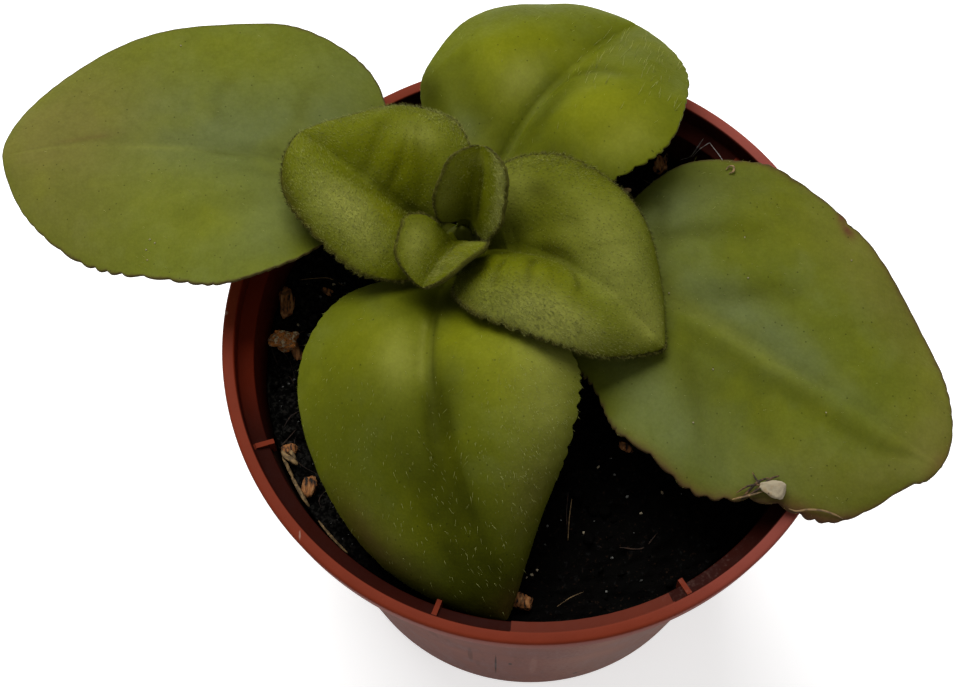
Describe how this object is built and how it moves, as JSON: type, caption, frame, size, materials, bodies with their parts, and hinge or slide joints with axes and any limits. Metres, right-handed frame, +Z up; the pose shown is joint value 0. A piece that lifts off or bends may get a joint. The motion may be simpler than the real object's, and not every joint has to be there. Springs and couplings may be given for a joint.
{
  "type": "potted primulina plant",
  "caption": "Rosette of broad, hairy, scalloped leaves on a short stem, growing in a round tapered nursery pot filled with peaty mix.",
  "frame": {"origin": "centre of the pot's flat underside", "axes": "+Z up along the pot's axis; the picture is seen from -Y and above, with +X to its right"},
  "size_m": [0.1362, 0.1005, 0.0986],
  "materials": {
    "terracotta_plastic": "satin",
    "peat": "matte",
    "stem_green": "satin",
    "leaf_old": "satin",
    "leaf_young": "matte",
    "bark": "matte",
    "clay": "matte",
    "perlite": "matte"
  },
  "bodies": {
    "root": {"pot": "terracotta_plastic", "soil": "peat", "stem": "stem_green", "leaf_left": "leaf_old", "leaf_right": "leaf_old", "leaf_far": "leaf_old", "leaf_near": "leaf_old", "leaf_centre_left": "leaf_young", "leaf_centre_right": "leaf_young", "leaf_bud_far": "leaf_young", "leaf_bud_near": "leaf_young", "bark_chip": "bark", "clay_nugget": "clay", "perlite_grain": "perlite"}
  },
  "joints": []
}
